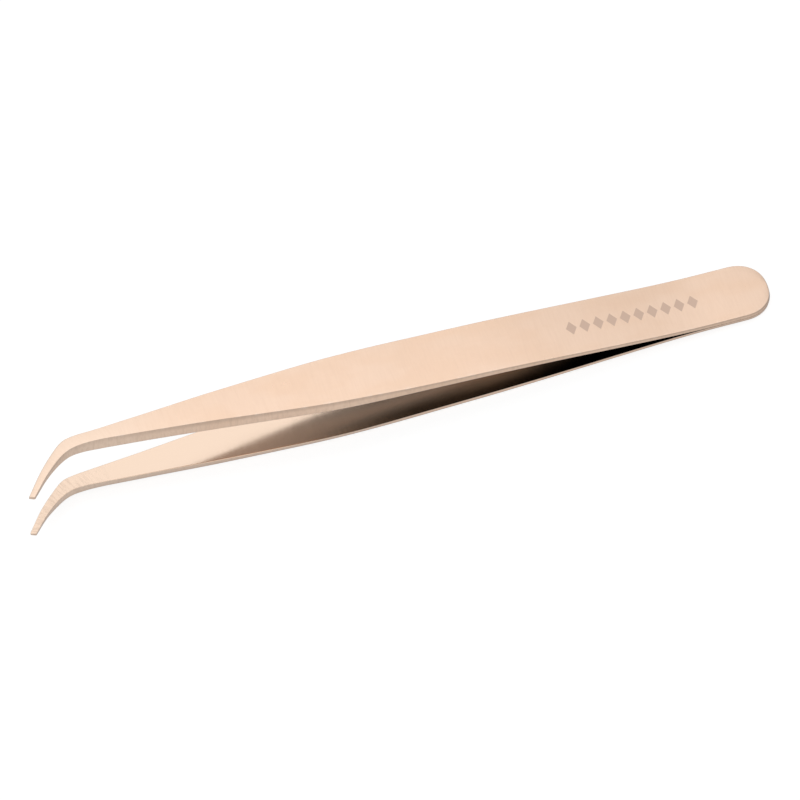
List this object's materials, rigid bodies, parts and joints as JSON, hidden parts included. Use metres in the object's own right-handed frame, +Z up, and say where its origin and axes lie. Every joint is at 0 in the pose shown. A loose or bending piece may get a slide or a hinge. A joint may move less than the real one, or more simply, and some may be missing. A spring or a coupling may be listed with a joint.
{
  "type": "bent-tip tweezers",
  "caption": "Curved-point beauty tweezers: flat spring-steel arms welded together at a rounded heel taper to fine bent tips that close when squeezed.",
  "frame": {"origin": "centre of the bounding box, on the table that the lower arm's flat lies on", "axes": "+X runs along the tool from the tips towards the heel, +Y is the side the tips turn away from, +Z is up, from the lower arm to the upper arm"},
  "size_m": [0.1202, 0.0128, 0.0125],
  "materials": {
    "rose_gold_steel": "satin rose-gold plating on spring steel",
    "weld_metal": "bare spot-welded steel"
  },
  "bodies": {
    "heel": {"upper_heel": "rose_gold_steel", "lower_heel": "rose_gold_steel", "spot_weld_1": "weld_metal", "spot_weld_2": "weld_metal"},
    "upper_arm": {"upper_arm": "rose_gold_steel"},
    "lower_arm": {"lower_arm": "rose_gold_steel"}
  },
  "joints": [
    {"name": "upper_arm_flex", "type": "hinge", "parent": "heel", "child": "upper_arm", "pos_m": [0.03523, 0.00138, 0.00322], "axis": [0, -1, 0], "range_deg": [0, 2.55], "stiffness_Nm_per_rad": 1.4},
    {"name": "lower_arm_flex", "type": "hinge", "parent": "heel", "child": "lower_arm", "pos_m": [0.03511, 0.00138, 0.00093], "axis": [0, 1, 0], "range_deg": [0, 2.55], "stiffness_Nm_per_rad": 1.4}
  ],
  "couplings": [
    {"joint": "lower_arm_flex", "follows": "upper_arm_flex", "ratio": 1}
  ]
}
